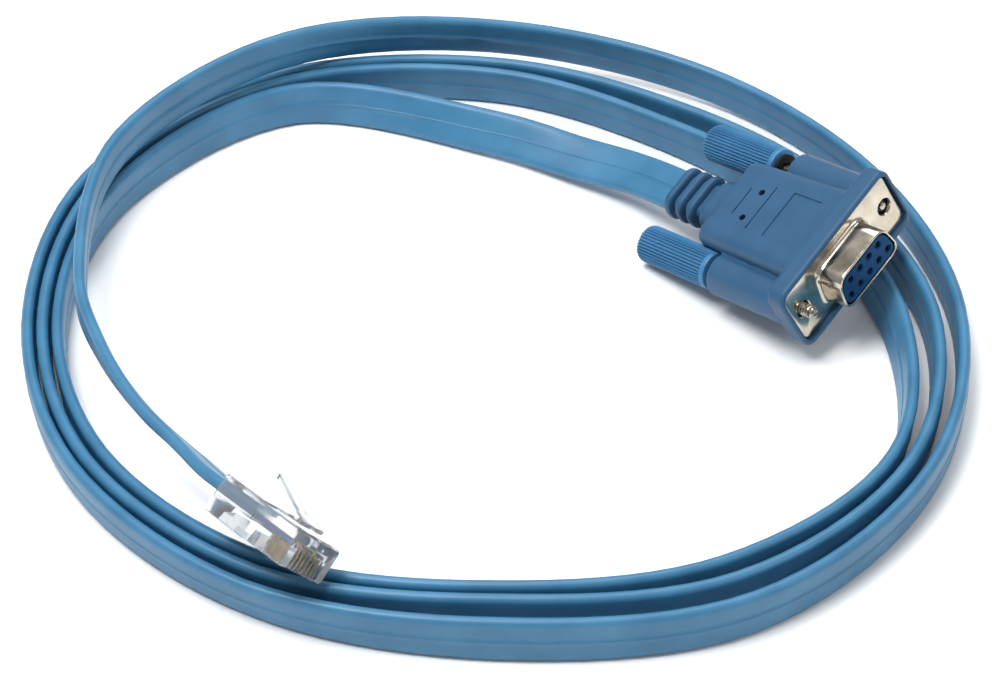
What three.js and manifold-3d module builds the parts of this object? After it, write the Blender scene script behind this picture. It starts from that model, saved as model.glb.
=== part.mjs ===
// Flat console cable with a nine-way D connector at one end and an eight-way
// modular plug at the other, lying in a loose coil on its narrow edge.
// Millimetres, +Z up. The origin is under the middle of the whole object, on the floor.
import * as THREE from 'three';
import { mergeVertices } from 'three/addons/utils/BufferGeometryUtils.js';
import Module from 'manifold-3d';

const wasm = await Module();
wasm.setup();

// Running clearance between separate pieces
const gap = 0.3;

// Flat cable
const cableWidth = 9.0;
const cableThickness = 2.2;
const crossingGap = 0.35;

// D connector, metal shell
const flangeWidth = 30.8;
const flangeHeight = 12.55;
const flangeCorner = 1.6;
const flangeThickness = 0.8;
const screwInset = 2.9;
const screwSpacing = flangeWidth - 2 * screwInset;
const screwHoleRadius = 1.6;
const shellWidth = 16.3;
const shellHeight = 7.6;
const shellWall = 0.5;
const shellCorner = 2.6;
const shellReach = 5.8;
const shellFlare = 0.9;
const shellSlant = THREE.MathUtils.degToRad(10);

// D connector, contacts
const contactPitch = 2.77;
const contactRowPitch = 2.84;
const contactHoleRadius = 0.6;
const socketRadius = 0.75;
const socketBore = 0.45;
const socketLength = 5.4;
const socketRecess = 0.7;
const insulatorDepth = 2.4;

// D connector, moulded hood
const rimSide = 1.1;
const rimTop = 1.3;
const rimBottom = 1.6;
const rimWidth = flangeWidth + 2 * rimSide;
const rimHeight = flangeHeight + rimTop + rimBottom;
const rimRise = (rimTop - rimBottom) / 2;
const rimCorner = 2.4;
const rimDepth = 3.9;
const rimLip = 0.6;
const rimChamfer = 0.9;
const hoodLength = 28.0;
const hoodWidth = 20.6;
const hoodRearWidth = 19.6;
const hoodHeight = 14.3;
const hoodRearHeight = 12.4;
const hoodCorner = 2.6;
const earRadius = 4.2;
const earSetback = 6.5;
const earLength = hoodLength - earSetback;
const earBoreRadius = 1.75;

// D connector, ribbed strain relief
const reliefLength = 14.6;
const reliefWidth = 10.7;
const reliefHeight = 6.6;
const reliefRootWidth = 11.8;
const reliefRootHeight = 7.6;
const reliefRibs = 3;
const reliefRibPitch = 3.0;
const reliefGrooveWidth = 1.2;
const reliefGrooveDepth = 1.0;

// Captive thumbscrews
const knobRadius = 3.72;
const knobLength = 18.6;
const knobDome = 0.9;
const knobSocket = 9.0;
const shaftRadius = 1.1;
const threadRadius = 1.3;
const threadLength = 6.6;
const screwTaper = 0.8;
const washerRadius = 2.9;
const washerThickness = 0.6;
// How far each knob lies behind its ear, and the tip in front of the flange with the knob home
const knobRest = [1.2, 4.4];
const screwReach = 4.2;
const screwLength = earLength + screwReach;

// Modular plug
const plugLength = 20.5;
const plugWidth = 11.68;
const plugHeight = 7.1;
const plugNoseHeight = 6.7;
const plugNoseChamfer = 0.7;
const jacketDepth = 9.2;
const jacketOffset = 1.1;
const wirePitch = 1.02;
const wireRadius = 0.4;
const wireLength = 9.4;
const wireOffset = 0.6;
const bladeThickness = 0.3;
const bladeLength = 4.6;
const bladeHeight = 3.2;
const bladeSlot = 0.62;
const bladeSetback = 0.9;
const bladeSink = 0.45;

// Plug latch
const latchRise = THREE.MathUtils.degToRad(19);
const latchLength = 12.2;
const latchShoulderLength = 3.2;
const latchRootWidth = 6.2;
const latchTabWidth = 3.3;
const latchThickness = 0.8;
const latchSetback = 3.3;

// Lie of the two connectors, in the coil's frame: where each local origin is, and
// the directions of its local Y (towards the mating face) and its local Z
const dOrigin = new THREE.Vector3(64.06, 3.55, 17.3);
const dForward = new THREE.Vector3(0.651, -0.733, 0.2);
const dTop = new THREE.Vector3(-0.448, -0.157, 0.88);
const plugOrigin = new THREE.Vector3(-36.3, -66.8, 15.85);
const plugForward = new THREE.Vector3(0.645, -0.755, 0.1);
const plugTop = new THREE.Vector3(0.537, 0.559, 0.632);

// The cable's route: turn angle in degrees, radius of the section's middle, height of
// its lower edge as a share of one crossing, and outward lean of its upper edge in degrees
const route = [
  [72, 54.4, 0.16, 56],
  [90, 60.6, 0.05, 38],
  [120, 81.6, 0, 6],
  [150, 83.6, 0, -3],
  [180, 80.4, 0, 0],
  [210, 78.2, 0, 6],
  [240, 75.2, 0, 9],
  [270, 72.1, 0, 0],
  [300, 76.4, 0, 0],
  [330, 79.6, 0, 3],
  [360, 74.2, 0, 16],
  [390, 69.8, 0, 4],
  [420, 69.2, 0, -10],
  [450, 77.4, 0, -11],
  [480, 85.7, 0, -6],
  [510, 87.1, 0, -4],
  [540, 83.2, 0, 0],
  [570, 81.2, 0, 8],
  [600, 78.2, 0, 12],
  [630, 75.2, 0, 0],
  [660, 80.8, 0, 0],
  [690, 83.0, 0, 3],
  [720, 80.8, 0, 2],
  [750, 76.6, 0, -4],
  [780, 75.2, 0, -8],
  [810, 81.2, 0, -10],
  [840, 88.6, 0, -7],
  [870, 90.2, 0, -4],
  [900, 86.0, 0, 0],
  [930, 84.0, 0, 8],
  [960, 82.0, 0, 13],
  [990, 80.6, 0, 0],
  [1020, 86.1, 0, 0],
  [1050, 86.7, 0, 3],
  [1080, 86.0, 0, -2],
  [1110, 85.9, 0, -6],
  [1140, 88.2, 0.08, -10],
  [1170, 88.1, 0.52, -12],
  [1200, 85.7, 1.14, -8],
  [1230, 84.2, 1.04, -6],
  [1260, 75.8, 1.0, -2],
  [1275, 72.3, 1.0, 10],
  [1290, 70.0, 1.0, 26],
  [1302, 69.0, 1.0, 36],
];
const stepsPerStation = 2;
const exitLead = 12;
const entryLead = 6.8;

// Materials
const cableBlue = new THREE.MeshStandardMaterial({ color: 0x5f9dc4, roughness: 0.45, metalness: 0 });
const hoodBlue = new THREE.MeshStandardMaterial({ color: 0x4f80b2, roughness: 0.5, metalness: 0 });
const insulatorBlue = new THREE.MeshStandardMaterial({ color: 0x1d4e93, roughness: 0.45, metalness: 0 });
const nickel = new THREE.MeshStandardMaterial({ color: 0xcfc5b5, roughness: 0.28, metalness: 1 });
const steel = new THREE.MeshStandardMaterial({ color: 0xa9a49b, roughness: 0.35, metalness: 1 });
const gold = new THREE.MeshStandardMaterial({ color: 0xd9b25c, roughness: 0.3, metalness: 1 });
const clearPlastic = new THREE.MeshStandardMaterial({
  color: 0xe9edf0, roughness: 0.08, metalness: 0, transparent: true, opacity: 0.45,
});
const wireColours = [0x8a8f96, 0x6b4a2f, 0xe0c64a, 0x3f8a4a, 0xc23b34, 0x222428, 0xd9742e, 0x2c5fa8];

// A closed three.js geometry as a solid that can be cut and joined
function solidOf(geometry) {
  const bare = geometry.clone();
  bare.deleteAttribute('normal');
  bare.deleteAttribute('uv');
  const merged = mergeVertices(bare, 1e-4);
  return new wasm.Manifold(new wasm.Mesh({
    numProp: 3,
    vertProperties: merged.attributes.position.array,
    triVerts: Uint32Array.from(merged.index.array),
  }));
}

function geometryOf(solid) {
  const mesh = solid.getMesh();
  const geometry = new THREE.BufferGeometry();
  geometry.setAttribute('position', new THREE.BufferAttribute(Float32Array.from(mesh.vertProperties), 3));
  geometry.setIndex(new THREE.BufferAttribute(Uint32Array.from(mesh.triVerts), 1));
  geometry.computeVertexNormals();
  return geometry;
}

// Skin over a row of rings that all have the same number of points, with flat ends
function loft(rings) {
  const count = rings[0].length;
  const points = rings.flat();
  const faces = [];
  for (let ring = 0; ring < rings.length - 1; ring += 1) {
    for (let i = 0; i < count; i += 1) {
      const a = ring * count + i;
      const b = ring * count + (i + 1) % count;
      faces.push(a, a + count, b + count, a, b + count, b);
    }
  }
  const middle = (ring) => ring.reduce((sum, p) => sum.add(p), new THREE.Vector3()).divideScalar(count);
  const first = points.length;
  points.push(middle(rings[0]), middle(rings[rings.length - 1]));
  const last = (rings.length - 1) * count;
  for (let i = 0; i < count; i += 1) {
    const next = (i + 1) % count;
    faces.push(first, i, next, first + 1, last + next, last + i);
  }
  const geometry = new THREE.BufferGeometry().setFromPoints(points);
  geometry.setIndex(faces);
  return geometry;
}

// Ring of a rounded rectangle across the Y axis
function rectangleRing(y, width, height, corner, z = 0, cornerSteps = 3) {
  const ring = [];
  const corners = [[1, 1, 0], [-1, 1, 1], [-1, -1, 2], [1, -1, 3]];
  for (const [sideX, sideZ, quarter] of corners) {
    for (let i = 0; i <= cornerSteps; i += 1) {
      const angle = (quarter + i / cornerSteps) * Math.PI / 2;
      ring.push(new THREE.Vector3(
        sideX * (width / 2 - corner) + corner * Math.cos(angle),
        y,
        z + sideZ * (height / 2 - corner) + corner * Math.sin(angle),
      ));
    }
  }
  return ring;
}

// Turned piece on an axis parallel to Y: pairs of distance along Y and radius
function turned(profile, x = 0, z = 0, sides = 20) {
  return loft(profile.map(([y, radius]) => {
    const ring = [];
    for (let i = 0; i < sides; i += 1) {
      const angle = i / sides * Math.PI * 2;
      ring.push(new THREE.Vector3(x + radius * Math.cos(angle), y, z + radius * Math.sin(angle)));
    }
    return ring;
  }));
}

function block(width, fromY, toY, fromZ, toZ, x = 0) {
  const geometry = new THREE.BoxGeometry(width, toY - fromY, toZ - fromZ);
  geometry.translate(x, (fromY + toY) / 2, (fromZ + toZ) / 2);
  return geometry;
}

// D outline across Y, wide side towards -Z
function dRing(y, width, height, corner) {
  const taper = height * Math.tan(shellSlant);
  const outline = [
    new THREE.Vector2(width / 2 - taper, height / 2),
    new THREE.Vector2(-width / 2 + taper, height / 2),
    new THREE.Vector2(-width / 2, -height / 2),
    new THREE.Vector2(width / 2, -height / 2),
  ];
  const cornerSteps = 4;
  const ring = [];
  outline.forEach((point, index) => {
    const before = outline[(index + 3) % 4].clone().sub(point).normalize();
    const after = outline[(index + 1) % 4].clone().sub(point).normalize();
    const curve = new THREE.QuadraticBezierCurve(
      point.clone().addScaledVector(before, corner),
      point,
      point.clone().addScaledVector(after, corner),
    );
    for (const p of curve.getPoints(cornerSteps)) {
      ring.push(new THREE.Vector3(p.x, y, p.y));
    }
  });
  return ring;
}

function frameOf(origin, forward, top) {
  const y = forward.clone().normalize();
  const z = top.clone().addScaledVector(y, -top.dot(y)).normalize();
  const x = new THREE.Vector3().crossVectors(y, z);
  const group = new THREE.Group();
  group.quaternion.setFromRotationMatrix(new THREE.Matrix4().makeBasis(x, y, z));
  group.position.copy(origin);
  group.updateMatrixWorld();
  return group;
}

function add(group, name, geometry, material) {
  const mesh = new THREE.Mesh(geometry, material);
  mesh.name = name;
  group.add(mesh);
  return mesh;
}

// Where the hood ends and the cable starts, behind the D connector's flange
const reliefEnd = -(hoodLength + reliefLength);

// Moulded hood: rim round the flange, tapered body, screw ears and ribbed strain relief
function makeHood() {
  const rim = solidOf(loft([
    rectangleRing(-rimDepth, rimWidth - 2 * rimChamfer, rimHeight - 2 * rimChamfer, rimCorner, rimRise),
    rectangleRing(-rimDepth + rimChamfer, rimWidth, rimHeight, rimCorner, rimRise),
    rectangleRing(rimLip - rimChamfer / 2, rimWidth, rimHeight, rimCorner, rimRise),
    rectangleRing(rimLip, rimWidth - rimChamfer, rimHeight - rimChamfer, rimCorner - rimChamfer / 2, rimRise),
  ]));
  const rearRings = [0, 30, 60, 90].map((degrees) => {
    const angle = THREE.MathUtils.degToRad(degrees);
    const inset = hoodCorner / 2 * (1 - Math.sin(angle));
    return rectangleRing(
      -hoodLength + hoodCorner / 2 * (1 - Math.cos(angle)),
      hoodRearWidth - 2 * inset, hoodRearHeight - 2 * inset, hoodCorner,
    );
  });
  const body = solidOf(loft([
    ...rearRings,
    rectangleRing(-rimDepth - hoodCorner / 2, hoodWidth, hoodHeight, hoodCorner),
    rectangleRing(-rimDepth + rimChamfer, hoodWidth, hoodHeight, hoodCorner),
  ]));
  let hood = rim.add(body);
  for (const side of [1, -1]) {
    const ear = turned([
      [-earLength, earRadius - rimChamfer / 2],
      [-earLength + rimChamfer / 2, earRadius],
      [-rimDepth + rimChamfer, earRadius],
    ], side * screwSpacing / 2, 0, 24);
    hood = hood.add(solidOf(ear));
  }
  // Each knob turns in a hollow along the side of the body
  for (const side of [1, -1]) {
    const hollow = turned([
      [-hoodLength - 1, knobRadius + gap],
      [-earLength, knobRadius + gap],
    ], side * screwSpacing / 2, 0, 24);
    hood = hood.subtract(solidOf(hollow));
  }
  hood = hood.add(solidOf(makeStrainRelief()));
  const flangeSeat = loft([
    rectangleRing(-flangeThickness - gap, flangeWidth + 2 * gap, flangeHeight + 2 * gap, flangeCorner + gap),
    rectangleRing(rimLip + 1, flangeWidth + 2 * gap, flangeHeight + 2 * gap, flangeCorner + gap),
  ]);
  hood = hood.subtract(solidOf(flangeSeat));
  const insulatorSeat = loft([
    dRing(-flangeThickness - insulatorDepth - gap, shellWidth, shellHeight, shellCorner),
    dRing(0, shellWidth, shellHeight, shellCorner),
  ]);
  hood = hood.subtract(solidOf(insulatorSeat));
  for (const side of [1, -1]) {
    const bore = turned([[-earLength - 1, earBoreRadius], [1, earBoreRadius]], side * screwSpacing / 2);
    hood = hood.subtract(solidOf(bore));
  }
  return geometryOf(hood);
}

// Strain relief: oval ribs with grooves between them, the first one round the cable,
// and a root that widens into the hood
function makeStrainRelief() {
  const corner = reliefHeight / 2 - 0.5;
  const edge = reliefGrooveWidth / 3;
  const oval = (y, inset) => rectangleRing(
    y, reliefWidth - 2 * inset, reliefHeight - 2 * inset, corner - inset / 2, 0, 4,
  );
  const sections = [];
  for (let rib = 0; rib < reliefRibs; rib += 1) {
    const y = reliefEnd + rib * reliefRibPitch;
    sections.push(oval(y, rib === 0 ? edge : reliefGrooveDepth));
    sections.push(oval(y + edge / 2, rib === 0 ? 0 : edge));
    sections.push(oval(y + edge, 0));
    sections.push(oval(y + reliefRibPitch - reliefGrooveWidth - edge, 0));
    sections.push(oval(y + reliefRibPitch - reliefGrooveWidth, reliefGrooveDepth));
  }
  const rootY = reliefEnd + reliefRibs * reliefRibPitch;
  sections.push(oval(rootY, reliefGrooveDepth));
  sections.push(oval(rootY + edge, 0));
  sections.push(rectangleRing(-hoodLength, reliefRootWidth, reliefRootHeight, corner, 0, 4));
  sections.push(rectangleRing(-hoodLength + hoodCorner, reliefRootWidth, reliefRootHeight, corner, 0, 4));
  return loft(sections);
}

// Pressed metal shell: flange, drawn D and the flare between them
function makeShell() {
  const flange = solidOf(loft([
    rectangleRing(-flangeThickness, flangeWidth, flangeHeight, flangeCorner),
    rectangleRing(0, flangeWidth, flangeHeight, flangeCorner),
  ]));
  const outside = solidOf(loft([
    dRing(-flangeThickness, shellWidth + 2 * shellFlare, shellHeight + 2 * shellFlare, shellCorner),
    dRing(0, shellWidth + 2 * shellFlare, shellHeight + 2 * shellFlare, shellCorner),
    dRing(shellFlare / 2, shellWidth + shellFlare / 2, shellHeight + shellFlare / 2, shellCorner),
    dRing(shellFlare * 1.5, shellWidth, shellHeight, shellCorner),
    dRing(shellReach, shellWidth, shellHeight, shellCorner),
  ]));
  const inside = solidOf(loft([
    dRing(-flangeThickness - 1, shellWidth - 2 * shellWall, shellHeight - 2 * shellWall, shellCorner - shellWall),
    dRing(shellReach + 1, shellWidth - 2 * shellWall, shellHeight - 2 * shellWall, shellCorner - shellWall),
  ]));
  let shell = flange.add(outside).subtract(inside);
  for (const side of [1, -1]) {
    const hole = turned(
      [[-flangeThickness - 1, screwHoleRadius], [1, screwHoleRadius]],
      side * screwSpacing / 2,
    );
    shell = shell.subtract(solidOf(hole));
  }
  return geometryOf(shell);
}

// Places of the nine contacts: five in the wide row, four in the narrow one
function contactPlaces() {
  const places = [];
  for (let i = 0; i < 5; i += 1) {
    places.push([(i - 2) * contactPitch, -contactRowPitch / 2]);
  }
  for (let i = 0; i < 4; i += 1) {
    places.push([(i - 1.5) * contactPitch, contactRowPitch / 2]);
  }
  return places;
}

const insulatorBack = -flangeThickness - insulatorDepth;
const socketFront = shellReach - socketRecess;

function makeInsulator() {
  const play = 2 * (shellWall + gap);
  let insulator = solidOf(loft([
    dRing(insulatorBack, shellWidth - play, shellHeight - play, shellCorner - shellWall),
    dRing(shellReach, shellWidth - play, shellHeight - play, shellCorner - shellWall),
  ]));
  for (const [x, z] of contactPlaces()) {
    const mouth = turned([[socketFront - 1, contactHoleRadius], [shellReach + 1, contactHoleRadius]], x, z, 10);
    const well = turned([
      [socketFront - socketLength - gap, socketRadius + gap / 2],
      [socketFront + gap / 2, socketRadius + gap / 2],
    ], x, z, 10);
    insulator = insulator.subtract(solidOf(mouth)).subtract(solidOf(well));
  }
  return geometryOf(insulator);
}

function makeSocket(x, z) {
  const outside = turned([[socketFront - socketLength, socketRadius], [socketFront, socketRadius]], x, z, 10);
  const bore = turned([[socketFront - socketLength + 1, socketBore], [socketFront + 1, socketBore]], x, z, 10);
  return geometryOf(solidOf(outside).subtract(solidOf(bore)));
}

// Captive thumbscrew on one ear, its knob at a given distance behind the ear
function addThumbscrew(group, number, x, rest) {
  const knobFront = -earLength - rest;
  const tip = knobFront + screwLength;
  const knob = solidOf(turned([
    [knobFront - knobLength, knobRadius - knobDome],
    [knobFront - knobLength + knobDome / 3, knobRadius - knobDome / 3],
    [knobFront - knobLength + knobDome, knobRadius],
    [knobFront - knobDome / 2, knobRadius],
    [knobFront, knobRadius - knobDome / 3],
  ], x, 0, 24));
  const socket = solidOf(turned([
    [knobFront - knobSocket - gap, shaftRadius + gap],
    [knobFront + 1, shaftRadius + gap],
  ], x));
  add(group, `thumbscrew_knob_${number}`, geometryOf(knob.subtract(socket)), hoodBlue);
  add(group, `jackscrew_${number}`, turned([
    [knobFront - knobSocket, shaftRadius],
    [tip - threadLength - screwTaper, shaftRadius],
    [tip - threadLength, threadRadius],
    [tip - screwTaper, threadRadius],
    [tip, threadRadius - screwTaper],
  ], x), steel);
  const washerBack = knobFront + gap;
  const washer = solidOf(turned([[washerBack, washerRadius], [washerBack + washerThickness, washerRadius]], x));
  const hole = solidOf(turned([
    [washerBack - 1, shaftRadius + gap],
    [washerBack + washerThickness + 1, shaftRadius + gap],
  ], x));
  add(group, `screw_washer_${number}`, geometryOf(washer.subtract(hole)), steel);
}

// Clear plug body: a block with the jacket's slot, the wires' channel and the blade slots
const plugRear = -plugLength / 2;
const plugNose = plugLength / 2;
const jacketEnd = plugRear + jacketDepth;
const wireStart = jacketEnd + gap;
const wireEnd = wireStart + wireLength;
const bladeFront = plugNose - bladeSetback;
const bladeTop = wireOffset - wireRadius - gap / 2;
const noseMiddle = (plugNoseHeight - plugHeight) / 4;

function makePlugBody() {
  let body = solidOf(loft([
    rectangleRing(plugRear, plugWidth, plugHeight, 0.4, 0, 1),
    rectangleRing(0, plugWidth, plugHeight, 0.4, 0, 1),
    rectangleRing(plugNose - plugNoseChamfer, plugWidth, plugNoseHeight, 0.4, noseMiddle, 1),
    rectangleRing(plugNose, plugWidth - plugNoseChamfer, plugNoseHeight - plugNoseChamfer, 0.4, noseMiddle, 1),
  ]));
  const slotHeight = cableThickness + 2 * gap;
  const jacketSlot = block(
    cableWidth + 2 * gap, plugRear - 1, jacketEnd + gap / 2,
    jacketOffset - slotHeight / 2, jacketOffset + slotHeight / 2,
  );
  body = body.subtract(solidOf(jacketSlot));
  const channel = block(
    8 * wirePitch + gap, jacketEnd, wireEnd + gap,
    wireOffset - wireRadius - gap, wireOffset + wireRadius + gap,
  );
  body = body.subtract(solidOf(channel));
  for (let i = 0; i < 8; i += 1) {
    const slot = block(
      bladeSlot, bladeFront - bladeLength - gap, plugNose + 1,
      -plugHeight, bladeTop + gap / 2, (i - 3.5) * wirePitch,
    );
    body = body.subtract(solidOf(slot));
  }
  return geometryOf(body);
}

function makeBlade(i) {
  return block(bladeThickness, bladeFront - bladeLength, bladeFront, bladeTop - bladeHeight + bladeSink / 2, bladeTop,
    (i - 3.5) * wirePitch);
}

function makeWire(i) {
  return turned([[wireStart, wireRadius], [wireEnd, wireRadius]], (i - 3.5) * wirePitch, wireOffset, 8);
}

// Latch: wide shoulders at the root near the nose, then a narrow tab that rises to the rear
const latchPivotY = plugNose - latchSetback;
const latchPivotZ = noseMiddle + plugNoseHeight / 2 + gap + latchThickness / 2;

function makeLatch() {
  const shoulder = solidOf(block(
    latchRootWidth, -latchShoulderLength, 0, -latchThickness / 2, latchThickness / 2,
  ));
  const tab = solidOf(block(
    latchTabWidth, -latchLength, -latchShoulderLength / 2, -latchThickness / 2, latchThickness / 2,
  ));
  const geometry = geometryOf(shoulder.add(tab));
  geometry.rotateX(-latchRise);
  geometry.translate(0, latchPivotY, latchPivotZ);
  return geometry;
}

// Path of the flat cable, which also carries the direction of the section's long side
class RibbonPath extends THREE.Curve {
  constructor(stations) {
    super();
    this.spine = new THREE.CatmullRomCurve3(stations.map((s) => s.centre), false, 'centripetal');
    this.across = stations.map((s) => s.across);
  }

  getPoint(t, target = new THREE.Vector3()) {
    return this.spine.getPoint(t, target);
  }

  // Even steps in the stations, so that neighbouring turns bend at the same angles
  getSpacedPoints(steps) {
    return this.getPoints(steps);
  }

  computeFrenetFrames(steps) {
    const tangents = [];
    const normals = [];
    const binormals = [];
    for (let i = 0; i <= steps; i += 1) {
      const t = i / steps;
      const place = Math.min(t * (this.across.length - 1), this.across.length - 1 - 1e-9);
      const index = Math.floor(place);
      const tangent = this.spine.getTangent(t);
      const normal = this.across[index].clone().lerp(this.across[index + 1], place - index);
      normal.addScaledVector(tangent, -normal.dot(tangent)).normalize();
      tangents.push(tangent);
      normals.push(normal);
      binormals.push(new THREE.Vector3().crossVectors(tangent, normal));
    }
    return { tangents, normals, binormals };
  }
}

// Cable section: a flat strip with round edges, its long side along the first axis
function cableSection() {
  const reach = cableWidth / 2 - cableThickness / 2;
  const shape = new THREE.Shape();
  shape.absarc(reach, 0, cableThickness / 2, -Math.PI / 2, Math.PI / 2, false);
  shape.absarc(-reach, 0, cableThickness / 2, Math.PI / 2, Math.PI * 1.5, false);
  return shape;
}

function cableStations(dFrame, plugFrame) {
  const crossingRise = cableWidth + crossingGap;
  const placed = (frame, y, z, side) => ({
    centre: new THREE.Vector3(0, y, z).applyMatrix4(frame.matrixWorld),
    across: new THREE.Vector3(side, 0, 0).applyQuaternion(frame.quaternion),
  });
  const stations = [
    placed(dFrame, reliefEnd - gap, 0, -1),
    placed(dFrame, reliefEnd - gap - exitLead, 0, -1),
  ];
  for (const [angle, radius, rise, lean] of route) {
    const turn = THREE.MathUtils.degToRad(angle);
    const tilt = THREE.MathUtils.degToRad(lean);
    const outward = new THREE.Vector3(Math.cos(turn), Math.sin(turn), 0);
    const centre = outward.clone().multiplyScalar(radius);
    const halfFlat = (cableWidth - cableThickness) / 2;
    centre.z = rise * crossingRise + halfFlat * Math.cos(tilt) + cableThickness / 2;
    const across = outward.multiplyScalar(Math.sin(tilt));
    across.z = Math.cos(tilt);
    stations.push({ centre, across });
  }
  stations.push(placed(plugFrame, plugRear - entryLead, jacketOffset, 1));
  stations.push(placed(plugFrame, plugRear, jacketOffset, 1));
  stations.push(placed(plugFrame, jacketEnd, jacketOffset, 1));
  return stations;
}

const dFrame = frameOf(dOrigin, dForward, dTop);
const plugFrame = frameOf(plugOrigin, plugForward, plugTop);

add(dFrame, 'db9_hood', makeHood(), hoodBlue);
add(dFrame, 'db9_shell', makeShell(), nickel);
add(dFrame, 'db9_insulator', makeInsulator(), insulatorBlue);
contactPlaces().forEach(([x, z], i) => add(dFrame, `socket_contact_${i + 1}`, makeSocket(x, z), gold));
addThumbscrew(dFrame, 1, screwSpacing / 2, knobRest[0]);
addThumbscrew(dFrame, 2, -screwSpacing / 2, knobRest[1]);

add(plugFrame, 'rj45_plug_body', makePlugBody(), clearPlastic);
add(plugFrame, 'rj45_latch', makeLatch(), clearPlastic);
for (let i = 0; i < 8; i += 1) {
  add(plugFrame, `rj45_contact_${i + 1}`, makeBlade(i), gold);
  const insulation = new THREE.MeshStandardMaterial({ color: wireColours[i], roughness: 0.5, metalness: 0 });
  add(plugFrame, `conductor_${i + 1}`, makeWire(i), insulation);
}

const coil = new THREE.Group();
const stations = cableStations(dFrame, plugFrame);
const cable = new THREE.ExtrudeGeometry(cableSection(), {
  steps: (stations.length - 1) * stepsPerStation,
  curveSegments: 4,
  extrudePath: new RibbonPath(stations),
});
add(coil, 'flat_cable', cable, cableBlue);
coil.add(dFrame, plugFrame);

// The origin goes under the middle of the whole object
const part = new THREE.Group();
part.add(coil);
part.updateMatrixWorld(true);
const reach = new THREE.Box3().setFromObject(part, true);
const middle = reach.getCenter(new THREE.Vector3());
coil.position.set(-middle.x, -middle.y, -reach.min.z);
part.updateMatrixWorld(true);

export default part;
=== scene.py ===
# Flat console cable in a loose coil: a moulded D connector with knurled thumbscrews
# at one end and a clear eight-way plug at the other. Local sizes are in millimetres.
import math

import bmesh
import bpy
import numpy as np
from mathutils import Matrix, Vector


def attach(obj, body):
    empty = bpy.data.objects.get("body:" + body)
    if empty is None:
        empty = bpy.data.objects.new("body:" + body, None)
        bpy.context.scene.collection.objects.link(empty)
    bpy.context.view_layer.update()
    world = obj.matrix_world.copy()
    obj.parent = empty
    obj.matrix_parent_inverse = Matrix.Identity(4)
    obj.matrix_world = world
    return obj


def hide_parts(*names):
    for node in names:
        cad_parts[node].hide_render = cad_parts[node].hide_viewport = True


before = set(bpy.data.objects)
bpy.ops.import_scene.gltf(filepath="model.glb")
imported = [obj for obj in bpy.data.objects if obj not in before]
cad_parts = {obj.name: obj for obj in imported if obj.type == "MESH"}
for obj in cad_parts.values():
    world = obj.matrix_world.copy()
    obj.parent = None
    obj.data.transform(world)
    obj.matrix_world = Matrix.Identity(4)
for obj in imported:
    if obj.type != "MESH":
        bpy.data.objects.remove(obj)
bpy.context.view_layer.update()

MM = 0.001
TURN = 2 * math.pi
scene = bpy.context.scene


def linked(name, data):
    """A new object, linked to the scene."""
    result = bpy.data.objects.new(name, data)
    scene.collection.objects.link(result)
    return result


# Camera

# Set until the connectors and the turns fell on their outlines in the photograph
EYE = Vector((0.94, -407.99, 338.14)) * MM
TARGET = Vector((0.94, -5.09, 0.04)) * MM
LENS_MM, SENSOR_MM = 101.88, 36

camera = linked("camera", bpy.data.cameras.new("camera"))
camera.location = EYE
camera.rotation_euler = (TARGET - EYE).to_track_quat("-Z", "Y").to_euler()
camera.data.lens = LENS_MM
camera.data.sensor_width = SENSOR_MM
camera.data.clip_start = 0.01
camera.data.clip_end = 20
scene.camera = camera
scene.view_settings.view_transform = "Standard"

# Materials


def hex_linear(code):
    """sRGB hex to the linear colour that the shader takes."""
    values = [int(code[i:i + 2], 16) / 255 for i in (1, 3, 5)]
    linear = [v / 12.92 if v <= 0.04045 else ((v + 0.055) / 1.055) ** 2.4 for v in values]
    return (*linear, 1.0)


def add_node(tree, kind, inputs=(), **settings):
    """A node with its settings; an input is a value or the socket that feeds it."""
    node = tree.nodes.new(kind)
    for name, value in settings.items():
        setattr(node, name, value)
    for name, value in dict(inputs).items():
        if isinstance(value, bpy.types.NodeSocket):
            tree.links.new(value, node.inputs[name])
        else:
            node.inputs[name].default_value = value
    return node


def start_material(name, **shader_values):
    """A material with one Principled shader, its tree and that shader."""
    material = bpy.data.materials.new(name)
    material.use_nodes = True
    tree = material.node_tree
    tree.nodes.clear()
    shader = add_node(tree, "ShaderNodeBsdfPrincipled", shader_values.items())
    add_node(tree, "ShaderNodeOutputMaterial", {"Surface": shader.outputs["BSDF"]})
    return material, tree, shader


def object_noise(tree, size_mm, detail=2.0):
    """Noise on object coordinates with features of about this size."""
    place = add_node(tree, "ShaderNodeTexCoord").outputs["Object"]
    return add_node(tree, "ShaderNodeTexNoise", {
        "Vector": place, "Scale": 1 / (size_mm * MM), "Detail": detail,
    }).outputs["Fac"]


# Most of a noise texture's area lies between these values
NOISE_LOW, NOISE_HIGH = 0.3, 0.7


def between(tree, noise, low, high):
    """A noise spread between two values."""
    return add_node(tree, "ShaderNodeMapRange", {
        "Value": noise, "From Min": NOISE_LOW, "From Max": NOISE_HIGH,
        "To Min": low, "To Max": high,
    }).outputs["Result"]


def two_tone(tree, factor, dark, light):
    """A colour between two tones. Sockets 0, 6 and 7 are the mix node's factor and colours."""
    mix = add_node(tree, "ShaderNodeMix", data_type="RGBA")
    tree.links.new(factor, mix.inputs[0])
    mix.inputs[6].default_value = hex_linear(dark)
    mix.inputs[7].default_value = hex_linear(light)
    return mix.outputs[2]


def dress(tree, shader, shade, tones, gloss, roughness):
    """The colour lies between two tones by one noise, and the roughness by another."""
    tree.links.new(two_tone(tree, between(tree, shade, 0, 1), *tones), shader.inputs["Base Color"])
    tree.links.new(between(tree, gloss, *roughness), shader.inputs["Roughness"])


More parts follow.
